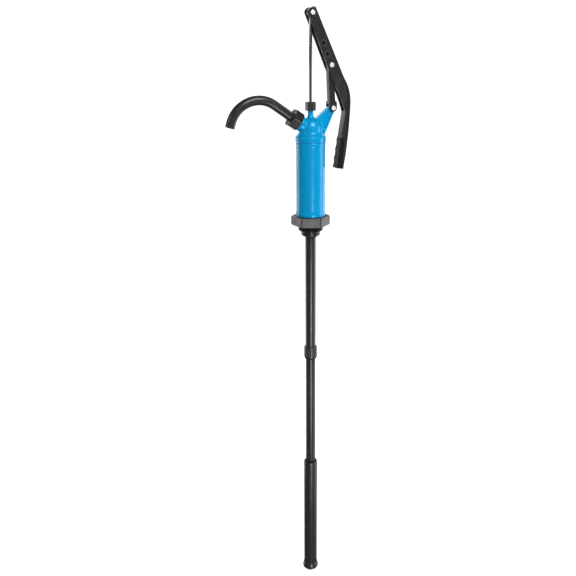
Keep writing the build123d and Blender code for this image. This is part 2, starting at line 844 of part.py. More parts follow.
with BuildPart() as grip_pad:
    with BuildSketch(Plane.XZ):
        with BuildLine():
            for first, middle, last in finger_arcs(toe, ridge_top, finger_dip):
                ThreePointArc(first, middle, last)
            Polyline(ridge_top, grip_top, (90.0, 206.5), (90.0, 134.6), toe)
        make_face()
        with BuildLine():
            Polyline(*grip_seat, close=True)
        make_face(mode=Mode.INTERSECT)
    extrude(amount=lever_half, both=True)
    # The lever's core that the pad wraps
    with BuildSketch(Plane.XZ):
        with BuildLine():
            Polyline(grip_core_edge[0], (90.0, 203.5), (90.0, 134.0), grip_core_edge[1], close=True)
        make_face()
    extrude(amount=grip_core_half, both=True, mode=Mode.SUBTRACT)
grip_pad.part.label = "grip_pad"
export_step(grip_pad.part, "parts/grip_pad.step")

# ---------------------------------------------------------------- link
link_length = hypot(link_pivot[0] - bracket_pivot[0], link_pivot[1] - bracket_pivot[1])
link_way = Vector(link_pivot[0] - bracket_pivot[0], 0, link_pivot[1] - bracket_pivot[1]) / link_length
link_plane = Plane(
    origin=(bracket_pivot[0], 0, bracket_pivot[1]),
    x_dir=(link_way.Z, 0, -link_way.X),
    z_dir=(0, -1, 0),
)
link_eye_radius = 6.6
fork_radius = 9.4
fork_crown_low = 8.8
fork_crown_top = 15.0
pocket_heights = (30.0, 46.0, 62.0, 78.0)
pocket_depth = 1.2

with BuildPart() as link:
    # Tapered bar with a round top end; local Y runs up the link from the fork's pivot
    with BuildSketch(link_plane):
        with BuildLine():
            Polyline(
                (-7.3, 10.0),
                (7.3, 10.0),
                (link_eye_radius, link_length),
                (-link_eye_radius, link_length),
                close=True,
            )
        make_face()
        with Locations((0, link_length)):
            Circle(link_eye_radius)
    extrude(amount=link_half, both=True)
    # Fork: a crown and two round ears
    with BuildSketch(link_plane):
        with BuildLine():
            Polyline(
                (-fork_radius, 0),
                (-fork_radius - 0.4, 12.0),
                (-7.6, fork_crown_top),
                (7.6, fork_crown_top),
                (fork_radius + 0.4, 12.0),
                (fork_radius, 0),
                close=True,
            )
        make_face()
        Circle(fork_radius)
    extrude(amount=fork_half, both=True)
    with BuildSketch(link_plane):
        with Locations((0, fork_crown_low)):
            Rectangle(40.0, 25.0, align=(Align.CENTER, Align.MAX))
    extrude(amount=fork_gap, both=True, mode=Mode.SUBTRACT)
    # Row of shallow pockets on each broad face
    for side in (-1, 1):
        with BuildSketch(link_plane.offset(side * (link_half - pocket_depth))):
            with Locations(*[(0, height) for height in pocket_heights]):
                RectangleRounded(8.4, 12.0, 2.0)
        extrude(amount=side * pocket_depth, mode=Mode.SUBTRACT)
    # Pivot bores
    with BuildSketch(link_plane.offset(-20.0)):
        Circle(pin_radius + running)
        with Locations((0, link_length)):
            Circle(pin_radius)
    extrude(amount=40.0, mode=Mode.SUBTRACT)
link.part.label = "link"
export_step(link.part, "parts/link.step")

# ---------------------------------------------------------------- pivot hardware
with BuildPart() as link_pivot_pin:
    with BuildSketch(across(link_pivot, -link_half)):
        Circle(pin_radius)
    extrude(amount=2 * link_half)
link_pivot_pin.part.label = "link_pivot_pin"
export_step(link_pivot_pin.part, "parts/link_pivot_pin.step")

# Two short screws, one in each cheek, in line with the link's own pin
with BuildPart() as link_pivot_screws:
    for side in (-1, 1):
        add(hex_head(link_pivot, side * lever_half, side))
        with BuildSketch(across(link_pivot, side * (cheek_inner + 0.1))):
            Circle(pin_radius)
        extrude(amount=side * (lever_half - cheek_inner - 0.1))
link_pivot_screws.part.label = "link_pivot_screws"
export_step(link_pivot_screws.part, "parts/link_pivot_screws.step")

save(bolt(rod_pivot, lever_half + boss_rise), "lever_pivot_bolt")
save(nut(rod_pivot, lever_half + boss_rise), "lever_pivot_nut")
save(bolt(bracket_pivot, fork_half + 0.1), "bracket_bolt")
save(nut(bracket_pivot, fork_half + 0.1), "bracket_nut")
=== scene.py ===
import json
from math import ceil, cos, pi, radians, sin, tan

import bmesh
import bpy
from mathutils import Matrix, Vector


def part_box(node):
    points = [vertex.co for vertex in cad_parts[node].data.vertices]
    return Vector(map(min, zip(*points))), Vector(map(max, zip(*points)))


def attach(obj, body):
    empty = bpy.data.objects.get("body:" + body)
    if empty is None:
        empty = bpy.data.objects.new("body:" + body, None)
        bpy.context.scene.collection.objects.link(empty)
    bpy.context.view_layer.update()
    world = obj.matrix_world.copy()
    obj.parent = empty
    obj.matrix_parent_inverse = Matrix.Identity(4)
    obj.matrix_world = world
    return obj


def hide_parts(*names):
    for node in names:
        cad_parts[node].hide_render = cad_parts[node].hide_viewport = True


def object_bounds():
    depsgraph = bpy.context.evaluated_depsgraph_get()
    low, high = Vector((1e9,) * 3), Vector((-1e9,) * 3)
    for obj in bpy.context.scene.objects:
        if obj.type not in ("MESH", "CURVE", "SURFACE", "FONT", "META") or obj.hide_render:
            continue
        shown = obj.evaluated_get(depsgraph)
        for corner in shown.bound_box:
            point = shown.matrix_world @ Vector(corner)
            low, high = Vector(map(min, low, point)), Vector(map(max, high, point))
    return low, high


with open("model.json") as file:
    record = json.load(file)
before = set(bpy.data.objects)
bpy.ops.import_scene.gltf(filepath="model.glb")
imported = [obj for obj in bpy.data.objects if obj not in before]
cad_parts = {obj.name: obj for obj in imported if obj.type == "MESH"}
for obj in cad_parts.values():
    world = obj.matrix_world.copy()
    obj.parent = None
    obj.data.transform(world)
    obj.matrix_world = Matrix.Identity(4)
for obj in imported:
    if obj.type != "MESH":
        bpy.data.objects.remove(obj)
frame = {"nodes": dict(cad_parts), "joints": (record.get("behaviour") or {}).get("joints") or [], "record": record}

# Drum barrel pump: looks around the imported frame. Profiles are in millimetres and are
# turned into metres by mm; +Z is up and the spout points to -X, as in the CAD model.

cad_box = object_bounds()
mm = 0.001
nodes = frame["nodes"]
joints = {joint["name"]: joint for joint in frame["joints"]}
body_of_node = {
    node: body
    for body, members in frame["record"]["behaviour"]["bodies"].items()
    for node in members
}
slot_of_node = {part["node"]: part["material_slot"] for part in frame["record"]["subparts"]}

up = Vector((0, 0, 1))
across = Vector((0, 1, 0))
handle_side = Vector((1, 0, 0))
rod_pivot = Vector(joints["handle_swing"]["pos_m"])
pin_low, pin_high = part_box("link_pivot_pin")
link_pivot = (pin_low + pin_high) / 2
port_start = Vector(joints["spout_swivel"]["pos_m"])
port_way = Vector(joints["spout_swivel"]["axis"]).normalized()


# ---------------------------------------------------------------- camera
def aim(thing, position, target):
    """Point a camera or light at a target."""
    thing.location = position
    thing.rotation_euler = (Vector(target) - Vector(position)).to_track_quat("-Z", "Y").to_euler()


camera_turn = radians(22.0)
camera_pitch = radians(17.9)
camera_reach = 1.895
camera_height = 0.450
camera = bpy.data.objects.new("camera", bpy.data.cameras.new("camera"))
bpy.context.scene.collection.objects.link(camera)
camera.data.lens = 50.0
camera.data.sensor_width = 36.0
camera.data.shift_x = -0.0391
eye = Vector((-sin(camera_turn) * camera_reach, -cos(camera_turn) * camera_reach, camera_height))
aim(camera, eye, (0, 0, camera_height - camera_reach * tan(camera_pitch)))
bpy.context.scene.camera = camera


# ---------------------------------------------------------------- material tools
# Noise scales are in features per metre, and the depths of bumps in metres.
drift_scale = 22.0
sink_scale = 35.0
sink_depth = 0.0008
sink_strength = 0.25
rub_scale = 70.0
rub_stretch = (1, 1, 0.25)
rub_detail = 6.0
grain_scale = 900.0
grain_depth = 0.00003
rib_depth = 0.0006
rib_strength = 0.8
tarnish_scale = 120.0
line_scale = 160.0
line_detail = 2.0
line_strength = 0.35
wave_rate = 20.0  # radians per metre of the wave texture at scale 1
worn_gain = 1.6
worn_lift = 0.05
scuff_start = 0.58
scuff_stop = 0.72


def material(name, colour, roughness, metallic=0.0):
    """A Principled material with its constants set on the shader's own sockets."""
    made = bpy.data.materials.new(name)
    made.use_nodes = True
    surface = made.node_tree.nodes["Principled BSDF"]
    surface.inputs["Base Color"].default_value = (*colour, 1.0)
    surface.inputs["Roughness"].default_value = roughness
    surface.inputs["Metallic"].default_value = metallic
    return made, made.node_tree, surface


def noise(tree, scale, stretch=(1, 1, 1), detail=3.0):
    """Noise over object space; scale is in features per metre."""
    coordinates = tree.nodes.new("ShaderNodeTexCoord")
    mapping = tree.nodes.new("ShaderNodeMapping")
    mapping.inputs["Scale"].default_value = stretch
    texture = tree.nodes.new("ShaderNodeTexNoise")
    texture.inputs["Scale"].default_value = scale
    texture.inputs["Detail"].default_value = detail
    tree.links.new(coordinates.outputs["Object"], mapping.inputs["Vector"])
    tree.links.new(mapping.outputs["Vector"], texture.inputs["Vector"])
    return texture.outputs["Fac"]


def level_bands(tree, pitch):
    """Bands across Z over object space, at a pitch in metres."""
    coordinates = tree.nodes.new("ShaderNodeTexCoord")
    bands = tree.nodes.new("ShaderNodeTexWave")
    bands.bands_direction = "Z"
    bands.inputs["Scale"].default_value = 2 * pi / (wave_rate * pitch)
    tree.links.new(coordinates.outputs["Object"], bands.inputs["Vector"])
    return bands.outputs["Fac"]


def spread(tree, value, low, high, start=0.3, stop=0.7):
    """Map a noise value between start and stop to the range from low to high."""
    node = tree.nodes.new("ShaderNodeMapRange")
    node.inputs["From Min"].default_value = start
    node.inputs["From Max"].default_value = stop
    node.inputs["To Min"].default_value = low
    node.inputs["To Max"].default_value = high
    tree.links.new(value, node.inputs["Value"])
    return node.outputs["Result"]


def blend_colours(tree, factor, first, second):
    """Mix two colours, or a colour output and a colour, by a factor."""
    node = tree.nodes.new("ShaderNodeMix")
    node.data_type = "RGBA"
    tree.links.new(factor, node.inputs["Factor"])
    for socket, colour in (("A", first), ("B", second)):
        target = next(s for s in node.inputs if s.name == socket and s.type == "RGBA")
        if isinstance(colour, tuple):
            target.default_value = (*colour, 1.0)
        else:
            tree.links.new(colour, target)
    return next(s for s in node.outputs if s.type == "RGBA")


def bump(tree, surface, height, strength, depth, under=None):
    """Bump of a height over another normal; depth is in metres."""
    node = tree.nodes.new("ShaderNodeBump")
    node.inputs["Strength"].default_value = strength
    node.inputs["Distance"].default_value = depth
    tree.links.new(height, node.inputs["Height"])
    if under is not None:
        tree.links.new(under, node.inputs["Normal"])
    tree.links.new(node.outputs["Normal"], surface.inputs["Normal"])
    return node.outputs["Normal"]


def moulded(name, colour, shade, glossy, matt, grain, scuff=0.0, specular=0.5, tint=None, ribs=0.0):
    """Moulded plastic or rubber: soft colour drift, fine grain, slight sink marks and light scuffs.

    Roughness runs from glossy to matt. ribs is the pitch of fine level ribs in metres.
    """
    made, tree, surface = material(name, colour, glossy)
    surface.inputs["Specular IOR Level"].default_value = specular
    if tint:
        surface.inputs["Specular Tint"].default_value = (*tint, 1.0)
    drift = spread(tree, noise(tree, drift_scale), 0.0, 1.0)
    hue = blend_colours(tree, drift, colour, shade)
    rub = noise(tree, rub_scale, rub_stretch, rub_detail)
    if scuff:
        worn = tuple(min(1.0, c * worn_gain + worn_lift) for c in colour)
        hue = blend_colours(tree, spread(tree, rub, 0.0, scuff, scuff_start, scuff_stop), hue, worn)
    tree.links.new(hue, surface.inputs["Base Color"])
    tree.links.new(spread(tree, rub, glossy, matt), surface.inputs["Roughness"])
    relief = bump(tree, surface, noise(tree, sink_scale, detail=1.0), sink_strength, sink_depth)
    if ribs:
        relief = bump(tree, surface, level_bands(tree, ribs), rib_strength, rib_depth, relief)
    bump(tree, surface, noise(tree, grain_scale, detail=1.0), grain, grain_depth, relief)
    return made


def metal(name, colour, shade, glossy, matt, stretch, line_depth=0.0, metallic=1.0):
    """Metal whose roughness and, with a line_depth, relief run in drawn or turned lines."""
    made, tree, surface = material(name, colour, glossy, metallic)
    drift = spread(tree, noise(tree, tarnish_scale), 0.0, 1.0)
    tree.links.new(blend_colours(tree, drift, colour, shade), surface.inputs["Base Color"])
    lines = noise(tree, line_scale, stretch, line_detail)
    tree.links.new(spread(tree, lines, glossy, matt), surface.inputs["Roughness"])
    if line_depth:
        bump(tree, surface, lines, line_strength, line_depth)
    return made


materials = {
    "blue_plastic": moulded(
        "blue_moulding",
        colour=(0.0, 0.292, 0.60),
        shade=(0.0, 0.312, 0.63),
        glossy=0.20,
        matt=0.27,
        grain=0.08,
        specular=0.6,
        tint=(0.5, 0.95, 1.0),
    ),
    "grey_plastic": moulded(
        "grey_moulding",
        colour=(0.112, 0.104, 0.107),
        shade=(0.080, 0.075, 0.077),
        glossy=0.42,
        matt=0.55,
        grain=0.3,
    ),
    "black_plastic": moulded(
        "black_moulding",
        colour=(0.0235, 0.0205, 0.0195),
        shade=(0.0175, 0.0155, 0.0150),
        glossy=0.30,
        matt=0.40,
        grain=0.12,
        scuff=0.10,
    ),
    "grip_rubber": moulded(
        "grip_rubber",
        colour=(0.006, 0.006, 0.0068),
        shade=(0.008, 0.008, 0.009),
        glossy=0.42,
        matt=0.55,
        grain=0.3,
        specular=0.12,
        ribs=0.0034,
    ),
    "polished_steel": metal(
        "polished_steel",
        colour=(0.50, 0.50, 0.51),
        shade=(0.45, 0.45, 0.46),
        glossy=0.15,
        matt=0.18,
        stretch=(1, 1, 0.01),
    ),
    "zinc_steel": metal(
        "zinc_steel",
        colour=(0.90, 0.90, 0.88),
        shade=(0.82, 0.82, 0.82),
        glossy=0.30,
        matt=0.42,
        stretch=(1, 0.2, 1),
        line_depth=0.000004,
        metallic=0.3,
    ),
    "seal_rubber": moulded(
        "seal_rubber",
        colour=(0.012, 0.012, 0.012),
        shade=(0.018, 0.018, 0.018),
        glossy=0.55,
        matt=0.75,
        grain=0.3,
    ),
    "white_polymer": moulded(
        "white_polymer",
        colour=(0.72, 0.72, 0.69),
        shade=(0.64, 0.64, 0.60),
        glossy=0.32,
        matt=0.45,
        grain=0.15,
    ),
}
# Paler black for the rims round the lever's spare holes: its pale colour is a painted highlight, with the same
# light scuffs as the other black.
painted_highlight_black = moulded(
    "painted_highlight_black",
    colour=(0.058, 0.055, 0.055),
    shade=(0.042, 0.040, 0.040),
    glossy=0.42,
    matt=0.55,
    grain=0.12,
    scuff=0.10,
)
for node, shown in nodes.items():
    shown.data.materials.clear()
    shown.data.materials.append(materials[slot_of_node[node]])


# ---------------------------------------------------------------- mesh tools
merge_distance = 0.00002  # metres
flat_angle = radians(1.0)
bevel_angle = radians(28.0)
bevel_steps = 3
arc_steps = 3
on_axis = 1e-6
chamfer_steps = 4
chamfer_slope = 0.55


def place(name, mesh, node, slot=None, stands_for=True, bevel=0.0):
    """Put a mesh on the body of a CAD node, in that node's material slot unless one is given.

    bevel is the width in millimetres of its rounded edges.
    """
    slot = slot or slot_of_node[node]
    piece = bpy.data.objects.new(name, mesh)
    bpy.context.scene.collection.objects.link(piece)
    mesh.materials.clear()
    mesh.materials.append(materials[slot])
    if bevel:
        edge = piece.modifiers.new("edges", "BEVEL")
        edge.width = bevel * mm
        edge.segments = bevel_steps
        edge.limit_method = "ANGLE"
        edge.angle_limit = bevel_angle
        edge.harden_normals = True
        edge.miter_outer = "MITER_ARC"
    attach(piece, body_of_node[node])
    if stands_for:
        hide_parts(node)
    return piece


def to_mesh(name, work, sharp=32.0):
    """Turn a bmesh into a mesh that is smooth except across edges sharper than an angle in degrees."""
    bmesh.ops.recalc_face_normals(work, faces=work.faces)
    for face in work.faces:
        face.smooth = True
    for edge in work.edges:
        edge.smooth = edge.is_manifold and edge.calc_face_angle(0.0) < radians(sharp)
    mesh = bpy.data.meshes.new(name)
    work.to_mesh(mesh)
    work.free()
    return mesh


def welded(node):
    """A CAD node's shape as a bmesh, with the vertices its faces share merged."""
    work = bmesh.new()
    work.from_mesh(nodes[node].data)
    bmesh.ops.remove_doubles(work, verts=work.verts, dist=merge_distance)
    return work


def refined(name, node, bevel):
    """A CAD node's shape with its flat faces cleaned up and its edges rounded."""
    work = welded(node)
    bmesh.ops.dissolve_limit(work, angle_limit=flat_angle, verts=work.verts, edges=work.edges)
    return place(name, to_mesh(name, work), node, bevel=bevel)


def straight(base, way, side):
    """Frame along a straight axis: height to centre and two directions."""
    way = Vector(way).normalized()
    first = (Vector(side) - way * way.dot(Vector(side))).normalized()
    second = way.cross(first)

    def at(height):
        return Vector(base) + way * height * mm, first, second

    return at


pump_axis = straight((0, 0, 0), up, handle_side)


def turned(name, profile, at=pump_axis, segments=120, shape=None, sharp=32.0):
    """A closed profile of (radius, height) turned about an axis.

    shape(angle, radius, height) may change the radius round the turn, as for a hexagon.
    """
    work = bmesh.new()
    rows = []
    for radius, height in profile:
        centre, first, second = at(height)
        if radius < on_axis:
            rows.append([work.verts.new(centre)] * segments)
            continue
        row = []
        for step in range(segments):
            angle = 2 * pi * step / segments
            reach = (shape(angle, radius, height) if shape else radius) * mm
            row.append(work.verts.new(centre + first * cos(angle) * reach + second * sin(angle) * reach))
        rows.append(row)
    for upper, lower in zip(rows, rows[1:] + rows[:1]):
        for step in range(segments):
            corners = list(dict.fromkeys([upper[step], upper[step - 1], lower[step - 1], lower[step]]))
            if len(corners) > 2:
                work.faces.new(corners)
    return to_mesh(name, work, sharp)


def rounded(profile, radius):
    """A closed profile with each corner cut back to a small arc."""
    out = []
    count = len(profile)
    for i, corner in enumerate(profile):
        here = Vector(corner)
        before = Vector(profile[i - 1]) - here
        after = Vector(profile[(i + 1) % count]) - here
        cut = min(radius, before.length * 0.45, after.length * 0.45)
        if corner[0] < on_axis or cut < 1e-4:
            out.append(corner)
            continue
        start = here + before.normalized() * cut
        stop = here + after.normalized() * cut
        for step in range(arc_steps + 1):
            t = step / arc_steps
            out.append(tuple(start * (1 - t) ** 2 + here * 2 * t * (1 - t) + stop * t ** 2))
    return out


def rows_between(radius, low, high, gap):
    """Profile points up a straight wall, no further apart than gap."""
    count = max(1, ceil(abs(high - low) / gap))
    return [(radius, low + (high - low) * i / count) for i in range(count + 1)]


def hexagon(flats, turn=0.0, groove=0.0):
    """Shape function that trims a turned profile to a hexagon's flats.

    groove is the depth of a narrow groove on each side of every corner.
    """
    groove_start = radians(0.6)
    groove_stop = radians(2.1)

    def trim(angle, radius, height):
        from_middle = (angle - turn) % (pi / 3) - pi / 6
        from_corner = pi / 6 - abs(from_middle)
        flat = flats / 2 / cos(from_middle)
        if groove and groove_start < from_corner < groove_stop:
            flat -= groove
        return min(radius, flat)

    return trim


def hex_profile(flats, low, high, chamfer, bore):
    """Profile of a hexagon nut with chamfers at both ends and very slightly blunted corners."""
    corner = flats / 2 / cos(pi / 6) * 0.992
    drop = chamfer * chamfer_slope
    parts = [i / chamfer_steps for i in range(chamfer_steps + 1)]
    wall = [(corner - chamfer * (1 - part), low + drop * part) for part in parts]
    wall += rows_between(corner, low + drop, high - drop, 0.8)[1:-1]
    wall += [(corner - chamfer * part, high - drop + drop * part) for part in parts]
    return [(bore, low)] + wall + [(bore, high)]


def size(node):
    """Box of a CAD node in millimetres: lowest and highest corner."""
    low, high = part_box(node)
    return low / mm, high / mm


# ---------------------------------------------------------------- barrel
# From below: an end inside the adapter, a neck in the shadow gap at the hexagon's top, a grooved
# ring that flares into the wall, the wall with a slight swell under the head's collar, and a
# thinner spigot inside the head.
barrel_low, barrel_high = size("barrel_tube")
ring_radius = barrel_high.x
barrel_radius = ring_radius - 1.3
bore_radius = 30.0
spigot_radius = 32.8
neck_cut = 0.8
shadow_gap_floor = 21.1
neck_top = 23.2
ring_low = 24.6
ring_high = 30.5
groove_cut = 0.45
groove_low = 27.4
groove_high = 28.6
groove_slope = 0.4
swell = 0.35
flare_middle = 33.5
flare_high = 37.5
swell_low = 190.0
collar_low = size("pump_head")[0].z
collar_gap = 0.4
spigot_low = collar_low + 0.2
barrel_profile = rounded(
    [
        (bore_radius, barrel_low.z),
        (barrel_radius, barrel_low.z),
        (barrel_radius, shadow_gap_floor),
        (barrel_radius - neck_cut, shadow_gap_floor),
        (barrel_radius - neck_cut, neck_top),
        (ring_radius - neck_cut, neck_top + 0.2),
        (ring_radius, ring_low),
        (ring_radius, groove_low - groove_slope),
        (ring_radius - groove_cut, groove_low),
        (ring_radius - groove_cut, groove_high),
        (ring_radius, groove_high + groove_slope),
        (ring_radius - 0.1, ring_high),
        (barrel_radius + swell, flare_middle),
        (barrel_radius, flare_high),
        (barrel_radius, swell_low),
        (barrel_radius + swell, swell_low + 1.0),
        (barrel_radius + swell, collar_low - 2.0),
        (barrel_radius - collar_gap, collar_low - 1.2),
        (barrel_radius - collar_gap, spigot_low),
        (spigot_radius, spigot_low),
        (spigot_radius, barrel_high.z),
        (bore_radius, barrel_high.z),
    ],
    radius=0.5,
)
place("barrel_shell", turned("barrel_shell", barrel_profile, segments=160), "barrel_tube")

# ---------------------------------------------------------------- bung adapter with real thread
bung_low, bung_high = size("bung_adapter")
hexagon_flats = 81.5
hexagon_turn = radians(41.0)
parting_groove = 1.6
corner_radius = hexagon_flats / 2 / cos(pi / 6)
hexagon_inner = 38.0  # rows beyond this radius follow the hexagon
thread_radius = 29.8
thread_pitch = 2.309
thread_depth = 1.35
thread_lead = 1.5
thread_end = -0.6
undercut_radius = thread_radius - 0.9
socket_thread_radius = 19.0
valve_seat_floor = -4.0
valve_seat_radius = 24.0
gasket_inner = 31.0
gasket_outer = 36.5
gasket_depth = 2.0
barrel_seat = 8.0
barrel_hole_radius = 34.0
shadow_gap_radius = 37.5


def thread_shape(angle, radius, height):
    """Helical thread, faded out at both ends."""
    if radius < thread_radius - 0.5:
        return radius
    turn = (height / thread_pitch + angle / (2 * pi)) % 1.0
    fade = min(1.0, (height - bung_low.z) / thread_lead + 0.2, thread_end - height + 0.2)
    return radius - thread_depth * abs(2 * turn - 1) * max(0.0, fade)


bung_hexagon = hexagon(hexagon_flats, hexagon_turn, parting_groove)


def bung_shape(angle, radius, height):
    """Hexagon with a narrow groove beside each corner, round nearer the axis."""
    return bung_hexagon(angle, radius, height) if radius > hexagon_inner else radius


thread_profile = [
    (socket_thread_radius, bung_low.z),
    (thread_radius - 2.2, bung_low.z),
    (thread_radius - 1.0, bung_low.z + 0.8),
]
thread_profile += rows_between(thread_radius, bung_low.z + 1.2, -0.9, 0.28)
thread_profile += [
    (undercut_radius, -0.5),
    (undercut_radius, 0.0),
    (valve_seat_radius, 0.0),
    (valve_seat_radius, valve_seat_floor),
    (socket_thread_radius, valve_seat_floor),
]
thread_mesh = turned("bung_thread", thread_profile, segments=240, shape=thread_shape, sharp=28.0)
# The thread is drawn in black plastic, darker than the grey adapter that it is cut in.
place("bung_thread", thread_mesh, "bung_adapter", "black_plastic")

bung_profile = [
    (valve_seat_radius, 0.0),
    (gasket_inner, 0.0),
    (gasket_inner, gasket_depth),
    (gasket_outer, gasket_depth),
    (gasket_outer, 0.0),
    (hexagon_inner + 1.2, 0.0),
    (corner_radius - 2.2, 0.6),
    (corner_radius - 0.5, 1.8),
]
bung_profile += rows_between(corner_radius - 0.1, 2.6, bung_high.z - 2.4, 2.0)
bung_profile += [
    (corner_radius - 0.9, bung_high.z - 1.2),
    (corner_radius - 2.4, bung_high.z - 0.4),
    (hexagon_inner + 0.6, bung_high.z),
    (shadow_gap_radius, bung_high.z),
    (shadow_gap_radius, shadow_gap_floor),
    (barrel_hole_radius, shadow_gap_floor),
    (barrel_hole_radius, barrel_seat),
    (valve_seat_radius, barrel_seat),
]
bung_mesh = turned("bung_hexagon", bung_profile, segments=480, shape=bung_shape, sharp=28.0)
place("bung_hexagon", bung_mesh, "bung_adapter")

# ---------------------------------------------------------------- suction socket and tubes
# From above: a plug in the adapter, a flange with a waist, and a taper onto the upper tube.
socket_low, socket_high = size("suction_socket")
flange_radius = 23.0
flange_top = -13.8
waist_radius = 22.2
waist_high = -16.6
waist_low = -18.4
waist_slope = 0.6
taper_top = -25.6
upper_tube_radius = 12.85
tube_stop = -10.0
socket_bore = 10.0
socket_profile = rounded(
    [
        (socket_bore, socket_high.z),
        (socket_thread_radius, socket_high.z),
        (socket_thread_radius, flange_top),
        (flange_radius, flange_top),
        (flange_radius, waist_high + waist_slope),
        (waist_radius, waist_high),
        (waist_radius, waist_low),
        (flange_radius, waist_low - waist_slope),
        (flange_radius, taper_top + 1.2),
        (flange_radius - 1.2, taper_top),
        (18.6, taper_top - 0.2),
        (17.4, -27.5),
        (15.6, -28.4),
        (14.5, socket_low.z),
        (upper_tube_radius, socket_low.z),
        (upper_tube_radius, tube_stop),
        (socket_bore, tube_stop),
    ],
    radius=0.5,
)
place("socket_body", turned("socket_body", socket_profile), "suction_socket")


def tube(name, node, wall, lip=0.6):
    """A plain tube with softened ends."""
    low, high = size(node)
    radius = high.x
    profile = [(radius - wall, low.z), (radius, low.z), (radius, high.z), (radius - wall, high.z)]
    return place(name, turned(name, rounded(profile, lip), segments=72), node)


suction_wall = 2.4
tube("upper_pipe", "upper_suction_tube", suction_wall)
tube("lower_pipe", "lower_suction_tube", suction_wall)

# The row below the foot tube's rim keeps the rim's soft shading off the long wall.
foot_low, foot_high = size("foot_tube")
foot_radius = foot_high.x
foot_bore = 14.75
bush_seat = 15.6
bush_depth = 7.0
foot_profile = rounded(
    [
        (foot_bore, foot_low.z),
        (foot_radius, foot_low.z),
        (foot_radius, foot_high.z - 12.0),
        (foot_radius, foot_high.z - 2.0),
        (foot_radius - 0.8, foot_high.z),
        (bush_seat, foot_high.z),
        (bush_seat, foot_high.z - bush_depth),
        (foot_bore, foot_high.z - bush_depth),
    ],
    radius=0.4,
)
place("foot_pipe", turned("foot_pipe", foot_profile, segments=96), "foot_tube")
tube("foot_bush", "foot_guide_bush", 3.1, 0.4)

coupling_low, coupling_high = size("tube_coupling")
coupling_radius = coupling_high.x
flute_count = 16
flute_depth = 0.75
flute_low = coupling_low.z + 6.5
flute_high = coupling_high.z - 4.5
collar_groove = 15.2
lower_tube_radius = 12.45
stop_radius = 10.4
stop_high = -332.0
stop_low = -333.5


def flutes(angle, radius, height):
    """Hand-grip flutes round the middle of the coupling."""
    if radius > 15.7 and flute_low < height < flute_high:
        return radius - flute_depth * max(0.0, cos(angle * flute_count)) ** 2
    return radius


coupling_profile = [
    (lower_tube_radius, coupling_low.z),
    (13.6, coupling_low.z),
    (14.6, coupling_low.z + 1.2),
    (15.6, coupling_low.z + 3.2),
    (15.9, coupling_low.z + 4.2),
    (collar_groove, coupling_low.z + 4.8),
    (collar_groove, coupling_low.z + 5.5),
    (coupling_radius - 0.3, coupling_low.z + 6.0),
]
coupling_profile += rows_between(coupling_radius, coupling_low.z + 6.4, coupling_high.z - 4.2, 1.2)
coupling_profile += [
    (coupling_radius - 0.5, coupling_high.z - 3.0),
    (coupling_radius - 1.3, coupling_high.z - 1.5),
    (coupling_radius - 2.4, coupling_high.z - 0.4),
    (13.4, coupling_high.z),
    (upper_tube_radius, coupling_high.z),
    (upper_tube_radius, stop_high),
    (stop_radius, stop_high),
    (stop_radius, stop_low),
    (lower_tube_radius, stop_low),
]
coupling_mesh = turned("coupling_body", coupling_profile, segments=192, shape=flutes)
place("coupling_body", coupling_mesh, "tube_coupling")
refined("strainer_body", "foot_strainer", 0.5)

# ---------------------------------------------------------------- head, gland and rod
# The head is one moulding: a fine remesh and smoothing blend its dome, port and bracket.
head = place("head_shell", to_mesh("head_shell", welded("pump_head")), "pump_head")
skin = head.modifiers.new("skin", "REMESH")
skin.mode = "VOXEL"
skin.voxel_size = 0.0007
skin.use_smooth_shade = True
soften = head.modifiers.new("soften", "SMOOTH")
soften.factor = 0.5
soften.iterations = 16

gland_low, gland_high = size("gland_nut")
gland_flats = 21.8
gland_turn = radians(38.0)
gland_chamfer = 1.6
gland_bore = 6.75
rod_hole = 4.4
gland_roof = 3.7
gland_profile = hex_profile(gland_flats, gland_low.z, gland_high.z, gland_chamfer, gland_bore)[:-1]
gland_profile += [
    (8.0, gland_high.z),
    (rod_hole, gland_high.z),
    (rod_hole, gland_high.z - gland_roof),
    (gland_bore, gland_high.z - gland_roof),
]
gland_shape = hexagon(gland_flats, gland_turn)
gland_mesh = turned("gland_hexagon", gland_profile, segments=144, shape=gland_shape)
place("gland_hexagon", gland_mesh, "gland_nut")

rod_low, rod_high = size("piston_rod")
rod_radius = 4.0
rod_profile = rounded(
    [
        (0, rod_low.z),
        (rod_radius - 0.8, rod_low.z),
        (rod_radius, rod_low.z + 1.0),
        (rod_radius, rod_high.z),
        (0, rod_high.z),
    ],
    radius=0.3,
)
place("rod_shaft", turned("rod_shaft", rod_profile, segments=48), "piston_rod")
refined("rod_eye_body", "rod_end_eye", 0.6)

# ---------------------------------------------------------------- spout
# Distances along the port are from the pump axis, and along the spout from its seat in the port.
port_seat = 52.0
bend_start = 107.7
bend_radius = 68.3
outlet_turn = radians(163.0)
outlet_length = 11.5
spout_radius = 11.0
spout_bore = 8.7
spout_collar_radius = 15.8
spout_collar = 2.2
straight_length = bend_start - port_seat
tilt = pi / 2 - port_way.angle(up)
bend_turn = outlet_turn - (pi / 2 - tilt)
bend_length = bend_radius * bend_turn
inward = Vector((-sin(tilt), 0, -cos(tilt)))
bend_centre = port_start + port_way * straight_length * mm + inward * bend_radius * mm


def spout_axis(distance):
    """Centre and two directions at a distance along the spout."""
    if distance <= straight_length:
        return port_start + port_way * distance * mm, across, port_way.cross(across)
    turn = min((distance - straight_length) / bend_length, 1.0) * bend_turn + pi / 2 - tilt
    out = Vector((cos(turn), 0, sin(turn)))
    way = Vector((-sin(turn), 0, cos(turn)))
    beyond = max(0.0, distance - straight_length - bend_length)
    return bend_centre + out * bend_radius * mm + way * beyond * mm, across, way.cross(across)


